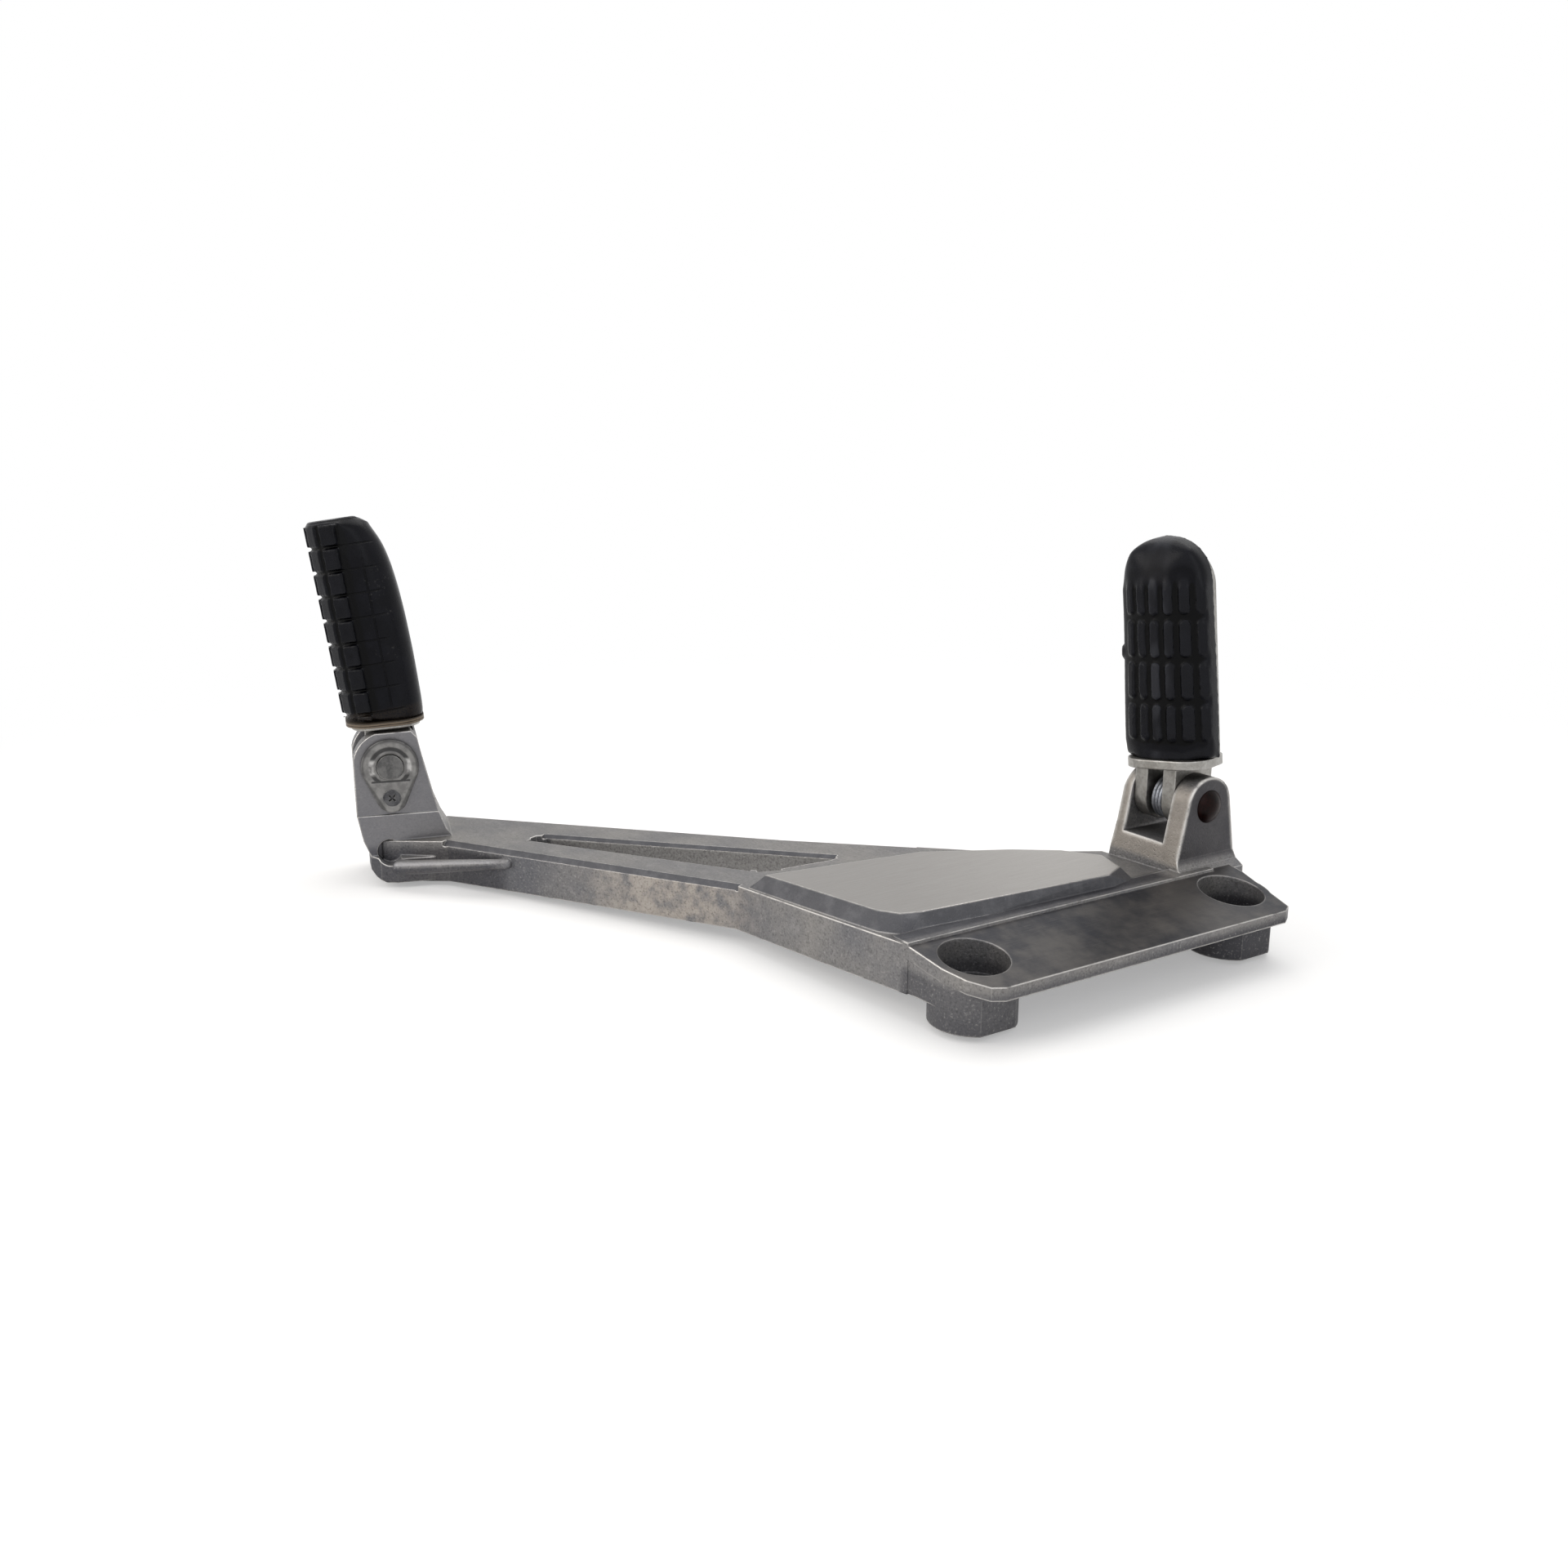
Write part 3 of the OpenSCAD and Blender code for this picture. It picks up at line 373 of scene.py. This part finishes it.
def rubber(name, peg, dust, brown, rows=0.0, painted_gleam=0.3):
    """Moulded black rubber: a faint painted gleam on the raised parts, grooves blackened as painted shade and grey
    dust in the corners.

    Brown is the stain at the foot, and rows the strength of the lines and scuffs on the smooth side.
    """
    mat, g = material(name)
    p = g.place()
    from_base = g.vector("SUBTRACT", p, tuple(peg.translation))
    across, depth, along = (g.vector("DOT_PRODUCT", from_base, tuple(peg.col[i].xyz)) for i in range(3))
    wide = g.noise(p, 0.12, 3)
    fine = g.noise(p, 1.6, 3, 0.6)
    color = g.mix(g.step(wide, 0.35, 0.68), (0.0022, 0.0023, 0.004), (0.005, 0.0052, 0.008))

    scuff = g.times(g.step(g.noise(p, 0.6, 5, 0.75), 0.58, 0.68), g.step(wide, 0.42, 0.55))
    scuff = g.times(scuff, 0.5, rows, g.between(depth, 4, 15, 3), g.between(along, 28, 74, 8))
    color = g.mix(scuff, color, (0.13, 0.125, 0.12))

    # Painted highlight on the raised parts, strongest in patches down the middle, and painted shade in the grooves
    relief = g.add("Attribute", attribute_name="relief").outputs["Fac"]
    raised = g.step(relief, 0.06, 0.2)
    patch = g.step(g.noise(g.vector("MULTIPLY", p, (0.1, 0.1, 0.045)), 1.0, 2), 0.4, 0.6)
    middle = g.between(across, -4, 5, 2)
    color = g.mix(g.times(raised, g.plus(0.25, g.times(patch, middle, 0.75)), painted_gleam), color, (0.05, 0.052, 0.062))
    color = g.mix(g.step(relief, 0.0, -0.1), color, (0.0003, 0.0003, 0.0006))
    color = g.mix(g.times(g.step(g.occlusion(4), 0.4, 0.8), dust, g.step(fine, 0.45, 0.7)), color, (0.02, 0.019, 0.018))
    color = g.mix(g.times(g.step(along, 8.5, 6.5), brown, g.step(fine, 0.3, 0.6)), color, (0.05, 0.036, 0.025))

    # Shallow lines carry the rows of knobs on over the smooth side, and end a third column; they are darkened as
    # painted shade
    row = g.step(g.math("PINGPONG", g.plus(along, 3.65), KNOB_PITCH / 2), 0.5, 0.2)
    row = g.times(row, g.between(depth, -5, 11, 1.5))
    column = g.times(g.between(depth, 5.6, 6.3, 0.25), g.between(along, 8, 76, 2))
    line = g.times(g.most(row, column), g.step(wide, 0.3, 0.45), rows)
    color = g.mix(g.times(line, 0.7), color, (0.001, 0.001, 0.0015))

    rough = g.plus(0.3, g.times(wide, 0.16), g.times(raised, -0.12))
    normal = g.bump(g.plus(fine, g.times(wide, 2.0)), 0.06)
    shader(g, color, rough, 0.0, g.bump(g.rest(line), 0.35, normal), 0.11)
    return mat


def lock_plate():
    """Zinc-plated plate: bright arcs of painted glint round the pin's end, and painted shade in a dark rim, dark arcs
    and a dark line below them.
    """
    mat, g = material("lock_plate")
    p = g.place()
    x, y, z = g.split(g.vector("SUBTRACT", p, tuple(PASS_HINGE)))[:3]
    side = g.plus(g.times(x, -math.sin(PASS_TURN)), g.times(y, math.cos(PASS_TURN)))
    radius = g.math("SQRT", g.plus(g.times(side, side), g.times(z, z)))
    side, height = g.magnitude(side), g.magnitude(z)
    bevel, edge = g.soft_edges(0.8)
    wide = g.noise(p, 0.25, 4, 0.6)
    fine = g.noise(p, 1.2, 3, 0.65)
    color = g.mix(g.step(wide, 0.35, 0.65), (0.17, 0.167, 0.164), (0.27, 0.265, 0.258))

    # Painted glints at the sides of the pin's end
    painted_glint_arc = g.times(g.between(radius, 7.2, 9.2, 0.5), g.step(height, 4.2, 2.2), g.step(wide, 0.35, 0.6))
    color = g.mix(g.times(painted_glint_arc, 0.85), color, (0.6, 0.59, 0.58))
    # Painted shade: dark arcs round the pin's end, a dark line below them and the dark rim, bumped in as recesses
    dark_arc = g.times(g.between(radius, 7.3, 9.1, 0.4), g.step(height, 2.8, 4.4), g.step(z, -7.2, -6.4))
    line = g.times(g.between(z, -6.9, -6.1, 0.25), g.step(side, 8.6, 8))
    round_rim = g.times(g.step(radius, 10.8, 11.8), g.step(z, -5, -2))
    tapered_rim = g.times(g.step(g.plus(side, g.times(z, -0.53)), 12.6, 13.6), g.step(z, -3, -5))
    dark = g.most(dark_arc, line, g.times(g.most(round_rim, tapered_rim), 0.65))
    color = g.mix(g.times(dark, 0.88), color, (0.03, 0.03, 0.031))

    # Painted shade in the corners
    color = g.mix(g.times(g.step(g.occlusion(3), 0.3, 0.9), 0.8), color, (0.012, 0.012, 0.012))
    # Edges lightened as wear and painted highlight
    color = g.mix(g.times(edge, 0.3, g.step(wide, 0.4, 0.6)), color, (0.5, 0.49, 0.48))
    normal = g.bump(g.plus(fine, g.times(dark, -3)), 0.06, bevel)
    shader(g, color, g.plus(0.42, g.times(fine, 0.15)), 0.7, normal)
    return mat


def layered(name, axis, base):
    """Thin bronze-brown plates lying on each other."""
    mat, g = material(name)
    p = g.place()
    along = g.vector("DOT_PRODUCT", g.vector("SUBTRACT", p, tuple(base)), tuple(axis))
    wide = g.noise(p, 0.3, 4, 0.6)
    line = g.math("PINGPONG", along, 0.5)
    color = g.mix(g.step(line, 0.08, 0.3), (0.035, 0.028, 0.022), g.mix(wide, (0.11, 0.08, 0.052), (0.24, 0.19, 0.14)))
    bevel, edge = g.soft_edges(0.3)
    # Edges lightened as wear and painted highlight
    color = g.mix(g.times(edge, 0.3), color, (0.45, 0.4, 0.34))
    height = g.plus(g.step(line, 0.05, 0.3), g.times(wide, 0.3))
    shader(g, color, g.plus(0.4, g.times(wide, 0.2)), 0.6, g.bump(height, 0.1, bevel))
    return mat


def main_normal(obj):
    """The direction that most of a plate's area faces."""
    sums = {}
    for poly in obj.data.polygons:
        n = poly.normal if poly.normal.z > 0 else -poly.normal
        key = tuple(round(c, 2) for c in n)
        sums[key] = sums.get(key, 0) + poly.area
    return Vector(max(sums, key=sums.get)).normalized()


def lowest(obj, axis):
    return min(axis.dot(v.co) for v in obj.data.vertices)


def paint(name, mat):
    data = nodes[name].data
    if not data.materials:
        data.materials.append(mat)
    for slot in nodes[name].material_slots:
        slot.material = mat


def new_piece(name, data, mat, body, slot_name, *replaced):
    obj = bpy.data.objects.new(name, data)
    scene.collection.objects.link(obj)
    data.materials.clear()
    data.materials.append(mat)
    data.polygons.foreach_set("use_smooth", [True] * len(data.polygons))
    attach(obj, body)
    if replaced:
        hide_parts(*replaced)
    return obj


def moulded(node, name, voxel, rounds):
    """A mesh of the node's form with rounded edges, as rubber comes out of its mould."""
    data = nodes[node].data.copy()
    bm = bmesh.new()
    bm.from_mesh(data)
    bmesh.ops.remove_doubles(bm, verts=bm.verts, dist=1e-6)
    bm.to_mesh(data)
    bm.free()
    obj = bpy.data.objects.new(name + "_source", data)
    scene.collection.objects.link(obj)
    remesh = obj.modifiers.new("voxels", "REMESH")
    remesh.mode = "VOXEL"
    remesh.voxel_size = voxel * MM
    smooth = obj.modifiers.new("round", "SMOOTH")
    smooth.factor = 0.5
    smooth.iterations = rounds
    graph = bpy.context.evaluated_depsgraph_get()
    result = bpy.data.meshes.new_from_object(obj.evaluated_get(graph))
    bpy.data.objects.remove(obj)
    return result


def smoothstep(x, low, high):
    t = np.clip((x - low) / (high - low), 0, 1)
    return t * t * (3 - 2 * t)


def model_points(data):
    """The mesh's points in the CAD model's axes, in millimetres."""
    co = np.empty(len(data.vertices) * 3)
    data.vertices.foreach_get("co", co)
    return co.reshape(-1, 3) / MM


def points(data, peg):
    """The mesh's points in the peg's frame, in millimetres."""
    back = np.array(peg.inverted())
    return model_points(data) @ back[:3, :3].T + back[:3, 3]


def put_points(data, peg, p):
    """Sets the points, none of them outside the CAD model's box."""
    m = np.array(peg)
    data.vertices.foreach_set("co", np.clip((p @ m[:3, :3].T + m[:3, 3]) * MM, *map(np.array, cad_box)).ravel())
    data.update()


def relax(data, p, weight, rounds):
    """Evens out the points where the weight is one, as a polished mould would."""
    edges = np.empty(len(data.edges) * 2, int)
    data.edges.foreach_get("vertices", edges)
    a, b = edges.reshape(-1, 2).T
    count = np.bincount(a, minlength=len(p)) + np.bincount(b, minlength=len(p))
    for _ in range(rounds):
        near = np.stack([np.bincount(a, p[b, k], len(p)) + np.bincount(b, p[a, k], len(p)) for k in range(3)], 1)
        p = p + (near / np.maximum(count, 1)[:, None] - p) * (0.5 * weight)[:, None]
    return p


def shape_passenger(data):
    """Curves the back of the passenger rubber, sets the rows of knobs and joins the top row to the end."""
    p = points(data, PASS_PEG)
    x, y, z = p.T.copy()
    outer = smoothstep(np.hypot(x, y - 3), 9.5, 11)
    tread = smoothstep(y, 3, -3) * outer

    # The rows of knobs lie a little further along, and the top row stands out over the end
    move = 1.3 + 1.9 * z / 90
    fade = smoothstep(z, 92, 86) * smoothstep(z, -2, 3)
    p[:, 2] += move * fade * tread
    p[:, 1] -= 0.7 * smoothstep(z, 86.3, 87.4) * smoothstep(y, -8, -12)

    # The back follows one curve, in place of the straight lines of the CAD solid
    knots_z = (-4, 12, 30, 48, 60, 70, 78, 85, 90, 94)
    knots_y = (19.2, 19.7, 20.0, 19.7, 19.0, 17.9, 16.2, 13.4, 10.2, 6.6)
    straight = np.interp(z, (-3, 55.2, 74.5, 88.6, 91.9), (19.2, 19.8, 17.6, 11.6, 7))
    fine_z = np.linspace(-4, 94, 400)
    curve = np.convolve(np.interp(fine_z, knots_z, knots_y), np.ones(25) / 25, "same")
    curve[:13], curve[-13:] = knots_y[0], np.interp(fine_z[-13:], knots_z, knots_y)
    back = smoothstep(y, 3, 12) * outer
    p[:, 1] += (np.interp(z, fine_z, curve) - straight) * back * smoothstep(z, 0, 8)
    p = relax(data, p, smoothstep(y, -1, 4) * outer * smoothstep(z, 1, 4), 60)
    p = relax(data, p, smoothstep(z, 88, 91) * outer, 12)
    put_points(data, PASS_PEG, p)


def shape_rider(data):
    """Rounds the dome and foot of the rider rubber and adds the nub that its mould left at one side."""
    p = points(data, RIDER_PEG)
    x, y, z = p.T.copy()
    front = smoothstep(y, -0.6, -1.8)
    p = relax(data, p, smoothstep(z, 68, 73) * front, 90)
    p = relax(data, p, smoothstep(np.abs(x), 14, 16) * front, 12)

    # It is wider at its foot than its core, with round lower corners
    p[:, 0] += smoothstep(x, 8, 14) * (0.5 + 1.0 * smoothstep(z, 80, 10))
    p[:, 0] -= smoothstep(-x, 8, 14) * 1.1 * smoothstep(z, 60, 5)
    p = relax(data, p, smoothstep(z, 7, 3) * smoothstep(np.abs(x), 10, 14) * front, 60)

    # The nub
    from_nub = np.sqrt((y + 4.5) ** 2 + ((z - 43) / 1.6) ** 2)
    p[:, 0] -= 1.2 * smoothstep(from_nub, 2.4, 1.2) * smoothstep(x, -14, -16)
    put_points(data, RIDER_PEG, p)


def note_relief(data):
    """Keeps how far each point stands proud of the form around it, in millimetres, for the material."""
    co = model_points(data)
    normals = np.empty(len(data.vertices) * 3)
    data.vertex_normals.foreach_get("vector", normals)
    proud = ((co - relax(data, co, np.ones(len(co)), RELIEF_ROUNDS)) * normals.reshape(-1, 3)).sum(axis=1)
    data.attributes.new("relief", "FLOAT", "POINT").data.foreach_set("value", proud.astype(np.float32))


def tube(name, path, radius, sides=12):
    """A closed round tube along a path of points."""
    bm = bmesh.new()
    rings = []
    side = None
    for i, at in enumerate(path):
        ahead = (path[min(i + 1, len(path) - 1)] - path[max(i - 1, 0)]).normalized()
        if side is None:
            side = ahead.orthogonal().normalized()
        side = (side - ahead * side.dot(ahead)).normalized()
        other = ahead.cross(side)
        rings.append([bm.verts.new(at + (side * math.cos(a) + other * math.sin(a)) * radius)
                      for a in (2 * math.pi * k / sides for k in range(sides))])
    for low, high in zip(rings, rings[1:]):
        for k in range(sides):
            bm.faces.new((low[k], low[(k + 1) % sides], high[(k + 1) % sides], high[k]))
    bm.faces.new(rings[0][::-1])
    bm.faces.new(rings[-1])
    bmesh.ops.recalc_face_normals(bm, faces=bm.faces)
    data = bpy.data.meshes.new(name)
    bm.to_mesh(data)
    bm.free()
    return data


# Metals on the CAD nodes
paint("bracket", casting())
alloy = metal("peg_alloy", (0.28, 0.27, 0.25), (0.42, 0.41, 0.39), (0.02, 0.015, 0.012), radius=0.9, depth=0.06,
              rough=0.3, metallic=0.9)
zinc = metal("zinc_steel", (0.2, 0.195, 0.185), (0.33, 0.325, 0.315), (0.02, 0.02, 0.02), radius=0.4, reach=2.5)
blackened = metal("dark_steel", (0.05, 0.05, 0.055), (0.12, 0.12, 0.125), (0.01, 0.01, 0.01), radius=0.3)
rust = metal("rusty_pin", (0.004, 0.0012, 0.001), (0.016, 0.004, 0.0032), (0.002, 0.001, 0.001), rough=0.25,
             edge_wear_and_highlight_color=(0.03, 0.009, 0.007), edge_wear_and_highlight=0.2, metallic=0.0, depth=0.03, specular=0.1)
wire = metal("spring_steel", (0.17, 0.18, 0.2), (0.42, 0.44, 0.48), (0.012, 0.013, 0.016), rough=0.36,
             radius=0.2, reach=1.5)
pin_end = metal("pin_end", (0.09, 0.089, 0.09), (0.17, 0.168, 0.165), (0.03, 0.03, 0.03), radius=0.5, reach=1.5)
for name, mat in {
    "rider_peg_core": alloy, "passenger_peg_core": alloy, "rider_rubber_screws": blackened,
    "rider_screw_washers": zinc, "rider_pivot_pin": rust, "rider_pin_washer": zinc, "rider_split_pin": zinc,
    "rider_spring_sleeve": blackened, "passenger_rubber_bolt": blackened, "passenger_bolt_washer": zinc,
    "passenger_pivot_pin": pin_end, "passenger_lock_plate": lock_plate(), "passenger_lock_screw": blackened,
    "passenger_detent_ball": zinc, "passenger_detent_spring": wire, "passenger_thrust_washer": zinc,
}.items():
    paint(name, mat)

plate = nodes["passenger_base_plate"]
pass_axis = main_normal(plate)
pass_base = pass_axis * lowest(plate, pass_axis) / MM
paint("passenger_base_plate", layered("bronze_plate", pass_axis, pass_base))

# Rubbers, moulded over the forms of their CAD solids
voxel = VOXEL
data = moulded("passenger_peg_rubber", "passenger_rubber", voxel, 2)
shape_passenger(data)
note_relief(data)
new_piece("passenger_rubber", data, rubber("passenger_rubber", PASS_PEG, 0.35, 0.35, 1.0),
          "passenger_peg", "peg_rubber", "passenger_peg_rubber")
data = moulded("rider_peg_rubber", "rider_rubber", voxel, 1)
shape_rider(data)
note_relief(data)
new_piece("rider_rubber", data, rubber("rider_rubber", RIDER_PEG, 0.5, 0.0, painted_gleam=0.6),
          "rider_peg", "peg_rubber", "rider_peg_rubber")

# Torsion spring round the rider's pin, wound as one wire
half_width = COIL_TURNS * COIL_PITCH / 2
steps = STEPS_A_TURN * COIL_TURNS
path = [Vector((-half_width, COIL_R, h)) for h in (13.2, 9, 5, 2)]
for i in range(steps + 1):
    angle = 2 * math.pi * i / STEPS_A_TURN
    path.append(Vector((half_width * (2 * i / steps - 1), COIL_R * math.cos(angle), -COIL_R * math.sin(angle))))
path += [Vector((half_width, COIL_R, -h)) for h in (2, 6, 10, 15)]
data = tube("return_spring", [RIDER_HINGE + at * MM for at in path], WIRE_R * MM, 14)
new_piece("return_spring", data, wire, "bracket", "spring_steel", "rider_return_spring")

# Floor: pale, with the object's shadow, and fading to white further away
low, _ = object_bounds()
bm = bmesh.new()
bmesh.ops.create_circle(bm, cap_ends=True, radius=FLOOR_R, segments=96)
data = bpy.data.meshes.new("floor")
bm.to_mesh(data)
bm.free()
floor = bpy.data.objects.new("floor", data)
floor.location = (CENTRE[0], CENTRE[1], low[2] - FLOOR_GAP)
scene.collection.objects.link(floor)
mat, g = material("floor")
data.materials.append(mat)
seen = g.shown_white()
away = g.vector("LENGTH", g.add("TexCoord").outputs["Object"])
diffuse = g.add("BsdfDiffuse", (0.82, 0.82, 0.82)).outputs[0]
glow = g.add("Emission", (1, 1, 1), 0.34).outputs[0]
both = g.add("AddShader", diffuse, glow).outputs[0]
near = g.add("MixShader", seen, diffuse, both).outputs[0]
white = g.add("Emission", (1, 1, 1), 1.0).outputs[0]
blend = g.add("MixShader", g.times(g.step(away, *FLOOR_FADE), seen), near, white).outputs[0]
g.add("OutputMaterial", blend)

# World: white behind the object and in what it mirrors, and soft grey light from all round, darker towards +X
world = bpy.data.worlds.new("studio")
world.use_nodes = True
scene.world = world
g = Graph(world.node_tree)
dx, _, dz = g.split(g.add("TexCoord").outputs["Generated"])[:3]
gloom = g.times(g.step(dx, 0.1, 0.8), g.step(dz, 0.75, 0.2))
light = g.add("Background", (1, 0.99, 0.98), g.math("SUBTRACT", 0.5, g.times(gloom, 0.36))).outputs[0]
white = g.add("Background", (1, 1, 1), 1.0).outputs[0]
g.add("OutputWorld", g.add("MixShader", g.shown_white(), light, white).outputs[0])


def softbox(name, at, size, power, color):
    lamp = bpy.data.lights.new(name, "AREA")
    lamp.shape = "RECTANGLE"
    lamp.size, lamp.size_y = size
    lamp.energy = power
    lamp.color = color
    obj = bpy.data.objects.new(name, lamp)
    obj.location = at
    obj.rotation_euler = (Vector(CENTRE) - Vector(at)).to_track_quat("-Z", "Y").to_euler()
    scene.collection.objects.link(obj)


softbox("top", (-0.35, 0.25, 1.1), (1.1, 1.1), 6.5, (1, 0.985, 0.965))
softbox("left", (-0.45, -1.0, 0.55), (0.8, 0.7), 4.0, (1, 0.95, 0.89))
softbox("right", (0.75, -0.25, 0.55), (0.5, 0.5), 0.8, (0.92, 0.95, 1))
